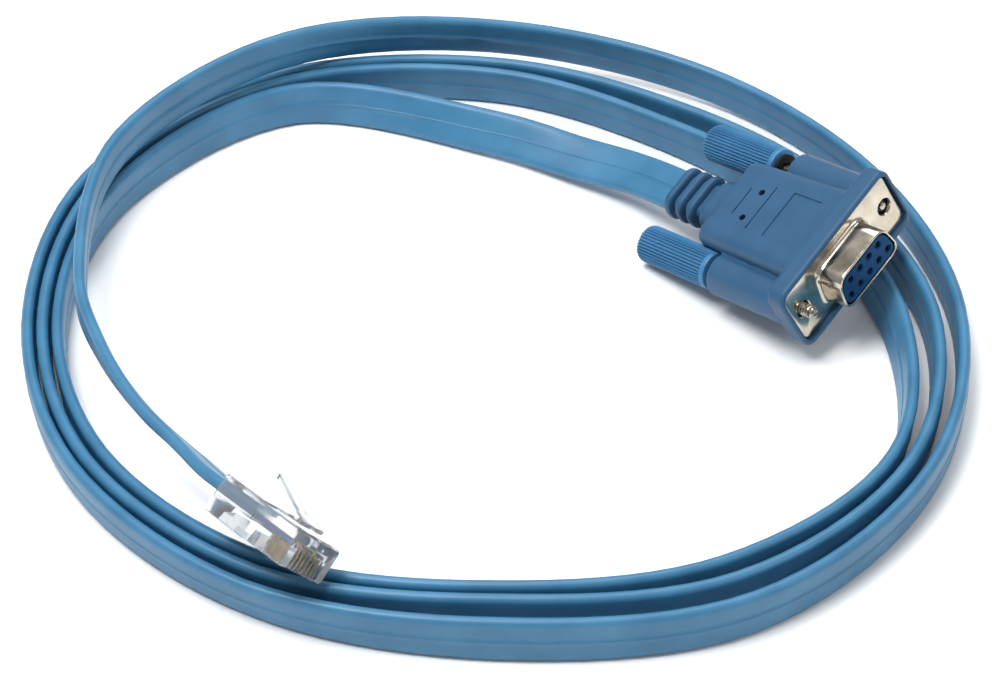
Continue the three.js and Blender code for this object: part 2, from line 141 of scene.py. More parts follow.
def bump(tree, shader, height, depth_mm, strength=0.5):
    relief = add_node(tree, "ShaderNodeBump", {
        "Height": height, "Distance": depth_mm * MM, "Strength": strength,
    })
    tree.links.new(relief.outputs["Normal"], shader.inputs["Normal"])


PVC_IOR = 1.53
# Features of the jacket's streaks per metre, along the cable and round it
STREAK_SCALE = (25, 2600, 1)


def extruded_pvc(name, dark, light):
    """Soft PVC jacket drawn through a die: satin, with faint streaks along its length."""
    material, tree, shader = start_material(name, **{"IOR": PVC_IOR, "Specular IOR Level": 0.38})
    uv = add_node(tree, "ShaderNodeTexCoord").outputs["UV"]
    along = add_node(tree, "ShaderNodeMapping", {"Vector": uv, "Scale": STREAK_SCALE})
    streak = add_node(tree, "ShaderNodeTexNoise", {
        "Vector": along.outputs["Vector"], "Scale": 1.0, "Detail": 3.0,
    }).outputs["Fac"]
    dress(tree, shader, object_noise(tree, 9), (dark, light), streak, (0.36, 0.46))
    bump(tree, shader, streak, 0.012)
    return material


def moulded_pvc(name, dark, light, rough=0.46, gloss=0.3):
    """Injection moulded PVC: an even satin face with the fine spark-eroded grain of the mould."""
    material, tree, shader = start_material(name, **{"IOR": PVC_IOR, "Specular IOR Level": gloss})
    # The real grain is about 0.05 mm; 0.22 mm is as fine as the render shows
    grain = object_noise(tree, 0.22, 3.0)
    dress(tree, shader, object_noise(tree, 6), (dark, light), grain, (rough - 0.05, rough + 0.05))
    bump(tree, shader, grain, 0.01)
    return material


def plated_metal(name, dark, light, rough, smear_mm=4.0):
    """Plated metal: the colour of the plating, with handling smears in its gloss."""
    material, tree, shader = start_material(name, Metallic=1.0)
    smears = object_noise(tree, smear_mm, 4.0)
    dress(tree, shader, smears, (dark, light), smears, (rough * 0.75, rough * 1.3))
    bump(tree, shader, object_noise(tree, 0.3, 3.0), 0.004, 0.4)
    return material


def clear_polycarbonate(name):
    """Clear moulding, slightly milky: sharp highlights, and flow waves that bend what is behind."""
    material, tree, shader = start_material(name, IOR=1.5, **{
        "Base Color": hex_linear("#e9edf0"), "Roughness": 0.06, "Transmission Weight": 0.9,
    })
    bump(tree, shader, object_noise(tree, 1.6), 0.01)
    return material


jacket_pvc = extruded_pvc("extruded_pvc_jacket", "#336b8f", "#3e799e")
hood_pvc = moulded_pvc("moulded_pvc_hood", "#2c5374", "#32597b")
knob_pvc = moulded_pvc("moulded_pvc_knob", "#3a719b", "#437ba6", 0.36)
shell_nickel = plated_metal("nickel_plated_steel", "#b0a797", "#d8d0c2", 0.17)
screw_nickel = plated_metal("nickel_plated_screw_steel", "#9d968a", "#c8c0b2", 0.24, 1.5)
# Painted shade: the washers' near-black colour stands in for the shade of the narrow gap between
# each knob and its ear
washer_steel_painted_gap_shade = plated_metal("dark_steel_painted_gap_shade", "#26282b", "#3a3d40", 0.45, 1.5)
contact_gold = plated_metal("gold_plated_bronze", "#c99a45", "#e0b866", 0.28, 1.5)
insulator_pbt = moulded_pvc("moulded_pbt_insulator", "#033a66", "#054272", 0.42, 0.1)
plug_clear = clear_polycarbonate("clear_polycarbonate")
CORE_COLOURS = [
    "#8a8f96", "#6b4a2f", "#e0c64a", "#3f8a4a", "#c23b34", "#222428", "#d9742e", "#2c5fa8",
]
core_pvc = [
    moulded_pvc(f"core_insulation_{i}", colour, colour) for i, colour in enumerate(CORE_COLOURS, 1)
]

# Places


# From the coil's own centre to the row frame's origin
COIL_MIDDLE = Vector((-0.060, -4.092, 0.044))


def place_of(origin, forward, top):
    """Matrix from a connector's local millimetres to the row frame in metres."""
    y = Vector(forward).normalized()
    z = Vector(top)
    z = (z - y * z.dot(y)).normalized()
    x = y.cross(z)
    turn = Matrix((x, y, z)).transposed().to_4x4()
    return Matrix.Scale(MM, 4) @ Matrix.Translation(Vector(origin) + COIL_MIDDLE) @ turn


D_PLACE = place_of((64.06, 3.55, 17.3), (0.651, -0.733, 0.2), (-0.448, -0.157, 0.88))
PLUG_PLACE = place_of((-36.3, -66.8, 15.85), (0.645, -0.755, 0.1), (0.537, 0.559, 0.632))

# Mesh helpers


def mesh_of(points, faces, uv=None):
    """A mesh, with UV pairs for the corners of each face where they are given."""
    mesh = bpy.data.meshes.new("draft")
    mesh.from_pydata([tuple(p) for p in points], [], faces)
    if uv is not None:
        layer = mesh.uv_layers.new(name="UVMap")
        loops = [corner for face in uv for corner in face]
        layer.data.foreach_set("uv", np.array(loops, np.float32).ravel())
    mesh.update()
    return mesh


def skin_faces(rings, count):
    """Faces of a skin over rings of count points each, with a cap at either end."""
    faces = [
        (r * count + i, r * count + (i + 1) % count,
         (r + 1) * count + (i + 1) % count, (r + 1) * count + i)
        for r in range(rings - 1) for i in range(count)
    ]
    last = (rings - 1) * count
    return faces + [tuple(range(count))[::-1], tuple(range(last, last + count))]


def outward(mesh, merge=True):
    """Turns every face outwards, after points in one place are merged."""
    work = bmesh.new()
    work.from_mesh(mesh)
    if merge:
        bmesh.ops.remove_doubles(work, verts=work.verts, dist=1e-5)
    bmesh.ops.recalc_face_normals(work, faces=work.faces)
    work.to_mesh(mesh)
    work.free()


def loft(rings):
    """Closed skin over rings with the same number of points."""
    mesh = mesh_of([p for ring in rings for p in ring], skin_faces(len(rings), len(rings[0])))
    outward(mesh)
    return mesh


def joined(*meshes):
    """One mesh of several, which keep their own faces."""
    work = bmesh.new()
    for mesh in meshes:
        work.from_mesh(mesh)
    result = bpy.data.meshes.new("draft")
    work.to_mesh(result)
    work.free()
    return result


def moved(mesh, x):
    mesh.transform(Matrix.Translation((x, 0, 0)))
    return mesh


def evaluated(holder):
    """The mesh of an object after its modifiers."""
    graph = bpy.context.evaluated_depsgraph_get()
    graph.update()
    return bpy.data.meshes.new_from_object(holder.evaluated_get(graph), depsgraph=graph)


def finished(mesh, steps):
    """The mesh after modifiers, each a kind with its settings."""
    holder = linked("draft", mesh)
    tools = []
    for kind, settings in steps:
        modifier = holder.modifiers.new(kind.lower(), kind)
        for name, value in settings.items():
            if name == "object":
                value = linked("tool", value)
                tools.append(value)
            setattr(modifier, name, value)
    result = evaluated(holder)
    for used in [holder, *tools]:
        bpy.data.objects.remove(used)
    return result


def combined(operation, mesh, tools):
    return finished(mesh, [("BOOLEAN", {
        "operation": operation, "solver": "MANIFOLD", "object": tool,
    }) for tool in tools])


def cut(mesh, *tools):
    return combined("DIFFERENCE", mesh, tools)


def united(mesh, *tools):
    return combined("UNION", mesh, tools)


def rounded(mesh, width, angle):
    """The mesh with every edge sharper than the angle rounded."""
    return finished(mesh, [("BEVEL", {
        "width": width, "segments": 2, "limit_method": "ANGLE", "angle_limit": math.radians(angle),
    })])


def rectangle_ring(y, width, height, corner, z=0.0, steps=6):
    """Rectangle with round corners, across the Y axis."""
    ring = []
    for side_x, side_z, quarter in [(1, 1, 0), (-1, 1, 1), (-1, -1, 2), (1, -1, 3)]:
        for i in range(steps + 1):
            a = (quarter + i / steps) * math.pi / 2
            ring.append((
                side_x * (width / 2 - corner) + corner * math.cos(a), y,
                z + side_z * (height / 2 - corner) + corner * math.sin(a),
            ))
    return ring


def circle(radius, sides):
    return [(radius * math.cos(TURN * i / sides), radius * math.sin(TURN * i / sides))
            for i in range(sides)]


def turned(profile, x=0.0, sides=48):
    """Turned piece on an axis parallel to Y: pairs of distance along Y and radius."""
    return loft([[(x + a, y, b) for a, b in circle(r, sides)] for y, r in profile])


def block(x, y, z):
    """Box between pairs of limits."""
    ring = [(x[0], z[0]), (x[1], z[0]), (x[1], z[1]), (x[0], z[1])]
    return loft([[(a, end, b) for a, b in ring] for end in y])


def piece(name, mesh, place, material, body, nodes=(), sharp=32):
    """A finished piece in the row frame, riding on its body and standing for its nodes."""
    mesh.transform(place)
    mesh.name = name
    mesh.materials.clear()
    mesh.materials.append(material)
    mesh.shade_smooth()
    mesh.set_sharp_from_angle(angle=math.radians(sharp))
    result = linked(name, mesh)
    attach(result, body)
    if nodes:
        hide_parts(*nodes)
    return result


# Geometry-node trees


def tree_with(name, sockets):
    """A tree with geometry in and out and the given named inputs."""
    tree = bpy.data.node_groups.new(name, "GeometryNodeTree")
    tree.interface.new_socket("Geometry", in_out="INPUT", socket_type="NodeSocketGeometry")
    for label, kind in sockets:
        tree.interface.new_socket(label, in_out="INPUT", socket_type=f"NodeSocket{kind}")
    tree.interface.new_socket("Geometry", in_out="OUTPUT", socket_type="NodeSocketGeometry")
    return tree, add_node(tree, "NodeGroupInput").outputs


def end_tree(tree, geometry, material):
    """Instances become real and take the material before they leave the tree."""
    real = add_node(tree, "GeometryNodeRealizeInstances", {"Geometry": geometry})
    dressed = add_node(tree, "GeometryNodeSetMaterial", {
        "Geometry": real.outputs[0], "Material": material,
    })
    add_node(tree, "NodeGroupOutput", {"Geometry": dressed.outputs[0]})


def repeat_tree():
    """Copies of one shape, each a step further along a line and turned further round Y."""
    tree, given = tree_with("repeat", [
        ("Count", "Int"), ("Start", "Vector"), ("Step", "Vector"), ("Turn", "Float"),
        ("Material", "Material"),
    ])
    line = add_node(tree, "GeometryNodeMeshLine", {
        "Count": given["Count"], "Start Location": given["Start"], "Offset": given["Step"],
    }, mode="OFFSET")
    number = add_node(tree, "GeometryNodeInputIndex").outputs[0]
    angle = add_node(tree, "ShaderNodeMath", operation="MULTIPLY")
    tree.links.new(number, angle.inputs[0])
    tree.links.new(given["Turn"], angle.inputs[1])
    turn = add_node(tree, "ShaderNodeCombineXYZ", {"Y": angle.outputs[0]})
    copies = add_node(tree, "GeometryNodeInstanceOnPoints", {
        "Points": line.outputs[0], "Instance": given["Geometry"], "Rotation": turn.outputs[0],
    })
    end_tree(tree, copies.outputs[0], given["Material"])
    return tree


def thread_tree():
    """A helical ridge round Y, laid on the shaft that comes in."""
    tree, given = tree_with("screw_thread", [
        ("Radius", "Float"), ("Pitch", "Float"), ("Length", "Float"), ("Depth", "Float"),
        ("Start", "Vector"), ("Material", "Material"),
    ])
    turns = add_node(tree, "ShaderNodeMath", operation="DIVIDE")
    tree.links.new(given["Length"], turns.inputs[0])
    tree.links.new(given["Pitch"], turns.inputs[1])
    helix = add_node(tree, "GeometryNodeCurveSpiral", {
        "Resolution": 24, "Rotations": turns.outputs[0], "Start Radius": given["Radius"],
        "End Radius": given["Radius"], "Height": given["Length"],
    })
    crest = add_node(tree, "GeometryNodeCurvePrimitiveCircle", {
        "Resolution": 6, "Radius": given["Depth"],
    })
    ridge = add_node(tree, "GeometryNodeCurveToMesh", {
        "Curve": helix.outputs[0], "Profile Curve": crest.outputs[0], "Fill Caps": True,
    })
    laid = add_node(tree, "GeometryNodeTransform", {
        "Geometry": ridge.outputs[0], "Rotation": (-math.pi / 2, 0, 0),
        "Translation": given["Start"],
    })
    both = add_node(tree, "GeometryNodeJoinGeometry", {"Geometry": given["Geometry"]})
    tree.links.new(laid.outputs[0], both.inputs[0])
    end_tree(tree, both.outputs[0], given["Material"])
    return tree


def grown(mesh, tree, **values):
    """The mesh after a geometry-node tree, its named inputs set by their identifiers."""
    holder = linked("draft", mesh)
    modifier = holder.modifiers.new("nodes", "NODES")
    modifier.node_group = tree
    for socket in tree.interface.items_tree:
        if socket.in_out == "INPUT" and socket.name in values:
            modifier[socket.identifier] = values[socket.name]
    result = evaluated(holder)
    bpy.data.objects.remove(holder)
    return result


REPEAT = repeat_tree()
THREAD = thread_tree()


def repeated(mesh, count, step=(0, 0, 0), turn=0.0, start=(0, 0, 0), material=hood_pvc):
    return grown(mesh, REPEAT, Count=count, Start=start, Step=step, Turn=turn, Material=material)


# Flat cable

CABLE_WIDTH = 9.0
CABLE_THICKNESS = 2.2
CABLE_FLAT = (CABLE_WIDTH - CABLE_THICKNESS) / 2
CROSSING_RISE = CABLE_WIDTH + 0.35
HOOD_LENGTH = 28.0
RELIEF_LENGTH = 14.6
RELIEF_END = -(HOOD_LENGTH + RELIEF_LENGTH)
GAP = 0.3
PLUG_REAR = -10.25
PLUG_NOSE = 10.25
JACKET_END = PLUG_REAR + 9.2
JACKET_OFFSET = 1.1
STATION_STEPS = 9

# Turn angle in degrees, radius of the section's middle, height of the lower edge as a
# share of one crossing, and outward lean of the upper edge in degrees
ROUTE = [
    (72, 54.4, 0.16, 56), (90, 60.6, 0.05, 38), (120, 81.6, 0, 6), (150, 83.6, 0, -3),
    (180, 80.4, 0, 0), (210, 78.2, 0, 6), (240, 75.2, 0, 9), (270, 72.1, 0, 0),
    (300, 76.4, 0, 0), (330, 79.6, 0, 3), (360, 74.2, 0, 16), (390, 69.8, 0, 4),
    (420, 69.2, 0, -10), (450, 77.4, 0, -11), (480, 85.7, 0, -6), (510, 87.1, 0, -4),
    (540, 83.2, 0, 0), (570, 81.2, 0, 8), (600, 78.2, 0, 12), (630, 75.2, 0, 0),
    (660, 80.8, 0, 0), (690, 83.0, 0, 3), (720, 80.8, 0, 2), (750, 76.6, 0, -4),
    (780, 75.2, 0, -8), (810, 81.2, 0, -10), (840, 88.6, 0, -7), (870, 90.2, 0, -4),
    (900, 86.0, 0, 0), (930, 84.0, 0, 8), (960, 82.0, 0, 13), (990, 80.6, 0, 0),
    (1020, 86.1, 0, 0), (1050, 86.7, 0, 3), (1080, 86.0, 0, -2), (1110, 85.9, 0, -6),
    (1140, 88.2, 0.08, -10), (1170, 88.1, 0.52, -12), (1200, 85.7, 1.14, -8),
    (1230, 84.2, 1.04, -6), (1260, 75.8, 1.0, -2), (1275, 72.3, 1.0, 10),
    (1290, 70.0, 1.0, 26), (1302, 69.0, 1.0, 36),
]


def stations():
    """Middle of the section and direction of its long side, in the row frame in metres."""
    middles, sides = [], []

    def on(place, y, z, side):
        middles.append(np.array(place @ Vector((0, y, z))))
        sides.append(np.array((place.to_3x3() @ Vector((side, 0, 0))).normalized()))

    on(D_PLACE, RELIEF_END - GAP, 0, -1)
    on(D_PLACE, RELIEF_END - GAP - 12, 0, -1)
    for degrees, radius, rise, lean in ROUTE:
        a, tilt = math.radians(degrees), math.radians(lean)
        out = np.array((math.cos(a), math.sin(a), 0))
        middle = out * radius
        middle[2] = rise * CROSSING_RISE + CABLE_FLAT * math.cos(tilt) + CABLE_THICKNESS / 2
        middles.append((middle + np.array(COIL_MIDDLE)) * MM)
        sides.append(out * math.sin(tilt) + np.array((0, 0, math.cos(tilt))))
    on(PLUG_PLACE, PLUG_REAR - 6.8, JACKET_OFFSET, 1)
    on(PLUG_PLACE, PLUG_REAR, JACKET_OFFSET, 1)
    on(PLUG_PLACE, JACKET_END, JACKET_OFFSET, 1)
    return np.array(middles), np.array(sides)


def spline(points, steps):
    """Centripetal Catmull-Rom curve through the points, with its tangents."""
    ends = np.vstack([2 * points[0] - points[1], points, 2 * points[-1] - points[-2]])
    places, tangents = [], []
    for k in range(len(points) - 1):
        p0, p1, p2, p3 = ends[k:k + 4]
        d0, d1, d2 = (
            math.sqrt(np.linalg.norm(b - a)) for a, b in ((p0, p1), (p1, p2), (p2, p3))
        )
        m1 = ((p1 - p0) / d0 - (p2 - p0) / (d0 + d1) + (p2 - p1) / d1) * d1
        m2 = ((p2 - p1) / d1 - (p3 - p1) / (d1 + d2) + (p3 - p2) / d2) * d1
        c2 = 3 * (p2 - p1) - 2 * m1 - m2
        c3 = 2 * (p1 - p2) + m1 + m2
        for w in np.arange(steps + (k == len(points) - 2)) / steps:
            places.append(p1 + m1 * w + c2 * w ** 2 + c3 * w ** 3)
            tangents.append(m1 + 2 * c2 * w + 3 * c3 * w ** 2)
    tangents = np.array(tangents)
    return np.array(places), tangents / np.linalg.norm(tangents, axis=1)[:, None]


# The fine moulded line along each flat face
LINE_HALF, LINE_RISE = 0.16, 0.13


def cable_outline():
    """Section: a flat strip with round edges and a moulded line along each face."""
    half = CABLE_THICKNESS / 2
    # Distance from the middle of a face, and rise above it
    face = [
        (2.3, 0), (1.1, 0), (LINE_HALF + 0.06, 0), (LINE_HALF, LINE_RISE * 0.55), (0, LINE_RISE),
        (-LINE_HALF, LINE_RISE * 0.55), (-LINE_HALF - 0.06, 0), (-1.1, 0), (-2.3, 0),
    ]
    points = []
    for side in (1, -1):
        for i in range(9):
            a = -math.pi / 2 + math.pi * i / 8
            points.append((side * (CABLE_FLAT + half * math.cos(a)), side * half * math.sin(a)))
        points += [(side * v, side * (half + rise)) for v, rise in face]
    return np.array(points) * MM


def running_length(points):
    """Length from the first point up to each one."""
    steps = np.linalg.norm(np.diff(points, axis=0), axis=1)
    return np.concatenate([[0], np.cumsum(steps)])


def make_cable():
    """The cable's mesh with its length and girth as UV, its middle line and its length."""
    middles, sides = stations()
    path, tangents = spline(middles, STATION_STEPS)
    # The long side turns evenly from one station to the next
    at = np.arange(len(path)) / STATION_STEPS
    at[-1] = len(sides) - 1
    low = np.minimum(at.astype(int), len(sides) - 2)
    share = (at - low)[:, None]
    long_side = sides[low] * (1 - share) + sides[low + 1] * share
    long_side -= tangents * np.sum(long_side * tangents, axis=1)[:, None]
    long_side /= np.linalg.norm(long_side, axis=1)[:, None]
    short_side = np.cross(tangents, long_side)
    outline = cable_outline()
    rings = (path[:, None] + outline[None, :, :1] * long_side[:, None]
             + outline[None, :, 1:] * short_side[:, None])
    count = len(outline)
    run = running_length(path)
    girth = running_length(np.vstack([outline, outline[:1]]))
    uv = [
        ((run[r], girth[i]), (run[r], girth[i + 1]),
         (run[r + 1], girth[i + 1]), (run[r + 1], girth[i]))
        for r in range(len(path) - 1) for i in range(count)
    ]
    uv += [[(run[ring], girth[i]) for i in range(count)] for ring in (0, -1)]
    mesh = mesh_of(rings.reshape(-1, 3), skin_faces(len(path), count), uv)
    outward(mesh, merge=False)
    return mesh, path, float(run[-1])


cable_mesh, cable_path, cable_length = make_cable()
flat_cable = piece("cable_jacket", cable_mesh, Matrix.Identity(4), jacket_pvc, "cable",
                   ["flat_cable"], sharp=50)

# D connector hood

FLANGE_WIDTH, FLANGE_HEIGHT, FLANGE_THICKNESS = 30.8, 12.55, 0.8
SCREW_X = 12.5
RIM_WIDTH, RIM_HEIGHT, RIM_Z = 33.0, 15.45, -0.15
RIM_DEPTH, RIM_LIP = 3.9, 0.6
EAR_RADIUS, EAR_LENGTH, BORE_RADIUS = 4.2, 21.5, 1.75
KNOB_RADIUS, KNOB_LENGTH = 3.72, 18.6
SHELL_WIDTH, SHELL_HEIGHT, SHELL_WALL, SHELL_REACH = 16.3, 7.6, 0.5, 5.8
SHELL_CORNER = 2.6
INSULATOR_BACK = -FLANGE_THICKNESS - 2.4


RELIEF_WIDTH, RELIEF_HEIGHT = 10.7, 6.6
RIBS, RIB_PITCH = 3, 3.0
SCREW_SIDES = (1, -1)
D_SLOPE = math.radians(10)
CORNER_STEPS = 7


def oval(y, width, height, inset=0.0):
    """Ring with nearly round ends, across the Y axis."""
    return rectangle_ring(y, width - 2 * inset, height - 2 * inset, (height - 2 * inset) / 2 - 0.45)


def relief_oval(y, inset=0.0):
    return oval(y, RELIEF_WIDTH, RELIEF_HEIGHT, inset)


def cable_seat():
    """Cutter for the mouth that the cable goes into."""
    return loft([
        oval(y, CABLE_WIDTH + 2 * GAP, CABLE_THICKNESS + 2 * GAP)
        for y in (RELIEF_END - 1, RELIEF_END + 1.5)
    ])


def d_ring(y, grow=0.0, corner=SHELL_CORNER):
    """D outline, its wide side towards -Z, moved outwards by the given amount."""
    width, height = SHELL_WIDTH + 2 * grow, SHELL_HEIGHT + 2 * grow
    taper = height * math.tan(D_SLOPE)
    corners = [Vector(p) for p in [
        (width / 2 - taper, height / 2), (-width / 2 + taper, height / 2),
        (-width / 2, -height / 2), (width / 2, -height / 2),
    ]]
    ring = []
    for i, point in enumerate(corners):
        start = point + (corners[i - 1] - point).normalized() * corner
        end = point + (corners[(i + 1) % 4] - point).normalized() * corner
        for k in range(CORNER_STEPS + 1):
            t = k / CORNER_STEPS
            p = start * (1 - t) ** 2 + point * (2 * t * (1 - t)) + end * t ** 2
            ring.append((p.x, y, p.y))
    return ring


def hood_solid():
    """Rim, body, ears and neck grown into one moulding with small fillets, and hollowed."""
    rim = loft([
        rectangle_ring(-RIM_DEPTH, RIM_WIDTH - 1.8, RIM_HEIGHT - 1.8, 2.0, RIM_Z),
        rectangle_ring(-RIM_DEPTH + 1.0, RIM_WIDTH, RIM_HEIGHT, 2.6, RIM_Z),
        rectangle_ring(RIM_LIP - 0.35, RIM_WIDTH, RIM_HEIGHT, 2.6, RIM_Z),
        rectangle_ring(RIM_LIP, RIM_WIDTH - 0.7, RIM_HEIGHT - 0.7, 2.3, RIM_Z),
    ])
    # Width, height and corner, from the rear end to the rim
    body = loft([
        rectangle_ring(-HOOD_LENGTH, 17.6, 10.4, 2.0),
        rectangle_ring(-HOOD_LENGTH + 0.35, 18.9, 11.7, 2.3),
        rectangle_ring(-HOOD_LENGTH + 1.2, 19.6, 12.4, 2.6),
        rectangle_ring(-RIM_DEPTH - 1.4, 20.6, 14.3, 2.6),
        rectangle_ring(-RIM_DEPTH + 1.0, 21.0, 14.9, 2.6),
    ])
    ears = [turned([
        (-EAR_LENGTH, EAR_RADIUS - 0.5), (-EAR_LENGTH + 0.15, EAR_RADIUS - 0.15),
        (-EAR_LENGTH + 0.5, EAR_RADIUS), (-RIM_DEPTH + 1.0, EAR_RADIUS),
    ], side * SCREW_X) for side in SCREW_SIDES]
    # A thin core under the ribs, then the plain root that widens into the body
    neck = loft([
        relief_oval(RELIEF_END + 0.6, 1.4), relief_oval(-33.4, 1.4), relief_oval(-33.2, 0.4),
        relief_oval(-32.5), oval(-30.2, 10.9, 6.9), oval(-HOOD_LENGTH - 0.6, 12.0, 8.2),
        oval(-HOOD_LENGTH + 1.5, 13.6, 9.8),
    ])
    solid = finished(joined(rim, body, neck, *ears), [
        ("REMESH", {"mode": "VOXEL", "voxel_size": 0.24}),
        ("SMOOTH", {"factor": 0.5, "iterations": 3}),
        ("DECIMATE", {"ratio": 0.35}),
    ])
    knob_room = KNOB_RADIUS + GAP
    hollows = [turned([(-HOOD_LENGTH - 3, knob_room), (-EAR_LENGTH, knob_room)], side * SCREW_X)
               for side in SCREW_SIDES]
    flange_seat = loft([rectangle_ring(y, FLANGE_WIDTH + 2 * GAP, FLANGE_HEIGHT + 2 * GAP, 1.7)
                        for y in (-FLANGE_THICKNESS - GAP, RIM_LIP + 1)])
    insulator_seat = loft([d_ring(INSULATOR_BACK - GAP), d_ring(0)])
    bores = [turned([(-EAR_LENGTH - 1, BORE_RADIUS), (1, BORE_RADIUS)], side * SCREW_X)
             for side in SCREW_SIDES]
    return cut(solid, *hollows, flange_seat, insulator_seat, *bores, cable_seat(), *hood_marks())


def hood_marks():
    """Mould marks of the top face: a shallow panel, two fine grooves and two gate holes."""
    (rear, rear_z), (front, front_z) = (-28, 6.2), (-5.3, 7.15)

    def height(y):
        return rear_z + (front_z - rear_z) * (y - rear) / (front - rear)

    def sunk(x, y, depth):
        low, high = y
        ring = [(x[0], low), (x[1], low), (x[1], high), (x[0], high)]
        return loft([[(a, b, height(b) + rise) for a, b in ring] for rise in (-depth, 1)])

    panel = sunk((-5.4, 5.2), (-13.4, -6.2), 0.28)
    grooves = [sunk((-3.2, 3.0), (-23.2, -22.95), 0.3), sunk((-5.2, 5.0), (-18.0, -17.75), 0.3)]
    gate_y, gate_radius = -20.2, 0.68
    gates = [loft([[(x + a, gate_y + b, z) for a, b in circle(gate_radius, 24)] for z in (3.2, 9)])
             for x in (3.1, -3.1)]
    return [panel, *grooves, *gates]


piece("hood", hood_solid(), D_PLACE, hood_pvc, "cable", ["db9_hood"], sharp=40)

# Ribs of the strain relief: round-edged ovals on a smaller core
rib = loft([
    relief_oval(y, inset) for y, inset in (
        (0.0, 0.75), (0.06, 0.35), (0.25, 0.08), (0.5, 0),
        (1.1, 0), (1.4, 0.08), (1.6, 0.35), (1.66, 0.9),
    )
])
ribs = cut(repeated(rib, RIBS, step=(0, RIB_PITCH, 0), start=(0, RELIEF_END, 0)), cable_seat())
piece("strain_relief_ribs", ribs, D_PLACE, hood_pvc, "cable")

# D shell and insulator


def shell_mesh():
    """Pressed flange with two screw holes and the D collar drawn out of it."""
    plate = loft([
        rectangle_ring(y, FLANGE_WIDTH - inset, FLANGE_HEIGHT - inset, 1.6)
        for y, inset in ((-FLANGE_THICKNESS, 0.0), (-0.14, 0.0), (-0.04, 0.08), (0, 0.28))
    ])
    flare = loft([
        d_ring(-FLANGE_THICKNESS, 1.0), d_ring(0.0, 1.0), d_ring(0.05, 0.72), d_ring(0.22, 0.4),
        d_ring(0.55, 0.14), d_ring(1.1, 0.0), d_ring(SHELL_REACH - 0.35, 0.0),
        d_ring(SHELL_REACH - 0.1, -0.08), d_ring(SHELL_REACH, -0.25),
    ])
    inside = loft([
        d_ring(y, grow, 2.2) for y, grow in (
            (-FLANGE_THICKNESS - 1, -SHELL_WALL), (SHELL_REACH - 0.12, -SHELL_WALL),
            (SHELL_REACH + 0.5, -SHELL_WALL + 0.35),
        )
    ])
    hole, mouth = 1.6, 1.85
    holes = [turned([(-2, hole), (-0.18, hole), (0.05, mouth), (1, mouth)], side * SCREW_X)
             for side in SCREW_SIDES]
    return cut(united(plate, flare), inside, *holes)


piece("d_shell", shell_mesh(), D_PLACE, shell_nickel, "cable", ["db9_shell"], sharp=28)

CONTACT_PITCH, ROW_PITCH = 2.77, 2.84


def insulator_mesh():
    """Insulator with a row of five holes and a row of four, each with a narrower mouth."""
    inset = -(SHELL_WALL + GAP)
    front = SHELL_REACH - 0.02
    solid = loft([
        d_ring(INSULATOR_BACK, inset, 2.1), d_ring(front - 0.15, inset, 2.1),
        d_ring(front, inset - 0.15, 2.1),
    ])
    # Wide behind, with a narrow mouth and a small chamfer at the face
    hole = turned([
        (-6.2, 0.88), (-0.8, 0.88), (-0.72, 0.68), (-0.2, 0.68), (0.02, 0.9), (0.5, 0.9),
    ], sides=24)
    for count, z in ((5, -ROW_PITCH / 2), (4, ROW_PITCH / 2)):
        start = (-(count - 1) / 2 * CONTACT_PITCH, front, z)
        solid = cut(solid, repeated(hole, count, step=(CONTACT_PITCH, 0, 0), start=start))
    return solid


piece("insulator", insulator_mesh(), D_PLACE, insulator_pbt, "cable",
      ["db9_insulator"], sharp=30)

# Thumbscrews

RIDGES, RIDGE_WIDTH, RIDGE_HEIGHT = 36, 0.4, 0.44
SCREW_LENGTH = 25.7
SHAFT_RADIUS, SHAFT_HELD = 1.1, 9.0
THREAD_RADIUS, THREAD_LENGTH, THREAD_PITCH = 1.3, 6.6, 0.64


def knob_mesh(front, x):
    """Knob with ridges along it and a plain collar at its front."""
    rear = front - KNOB_LENGTH
    core = turned([
        (rear, KNOB_RADIUS - 1.0), (rear + 0.12, KNOB_RADIUS - 0.78),
        (rear + 0.4, KNOB_RADIUS - 0.52), (rear + 0.9, KNOB_RADIUS - RIDGE_HEIGHT),
        (front - 1.25, KNOB_RADIUS - RIDGE_HEIGHT), (front - 1.15, KNOB_RADIUS - 0.04),
        (front - 0.25, KNOB_RADIUS), (front - 0.06, KNOB_RADIUS - 0.1), (front, KNOB_RADIUS - 0.3),
    ], sides=72)
    socket = SHAFT_RADIUS + GAP
    core = cut(core, turned([(front - SHAFT_HELD - GAP, socket), (front + 1, socket)], sides=32))
    half, sunk = RIDGE_WIDTH / 2, 0.15
    section = [(half * math.cos(a), RIDGE_HEIGHT * math.sin(a)) for a in np.linspace(0, math.pi, 7)]
    section = [(half, -sunk), *section, (-half, -sunk)]
    # Distance along the knob, drop and share of the full section, so that the rear end is domed
    stretch = [(rear + 0.12, -0.55, 0.55), (rear + 0.3, -0.28, 0.85), (rear + 0.65, -0.06, 1.0),
               (rear + 1.0, 0.0, 1.0), (front - 1.2, 0.0, 1.0)]
    ridge = loft([
        [(a * size, y, KNOB_RADIUS - RIDGE_HEIGHT + drop + b) for a, b in section]
        for y, drop, size in stretch
    ])
    ridges = repeated(ridge, RIDGES, turn=TURN / RIDGES, material=knob_pvc)
    return moved(joined(core, ridges), x)


def screw_mesh(front, x):
    """Plain shaft from inside the knob to a threaded end with a dog point."""
    tip = front + SCREW_LENGTH
    core = THREAD_RADIUS - 0.24
    shaft = turned([
        (front - SHAFT_HELD, SHAFT_RADIUS), (tip - THREAD_LENGTH - 0.6, SHAFT_RADIUS),
        (tip - THREAD_LENGTH - 0.2, core), (tip - 0.75, core), (tip - 0.55, 0.82),
        (tip - 0.12, 0.78), (tip, 0.62),
    ], sides=32)
    threaded = grown(shaft, THREAD, Radius=core, Pitch=THREAD_PITCH, Length=THREAD_LENGTH - 0.95,
                     Depth=0.19, Start=(0, tip - THREAD_LENGTH, 0), Material=screw_nickel)
    return moved(threaded, x)


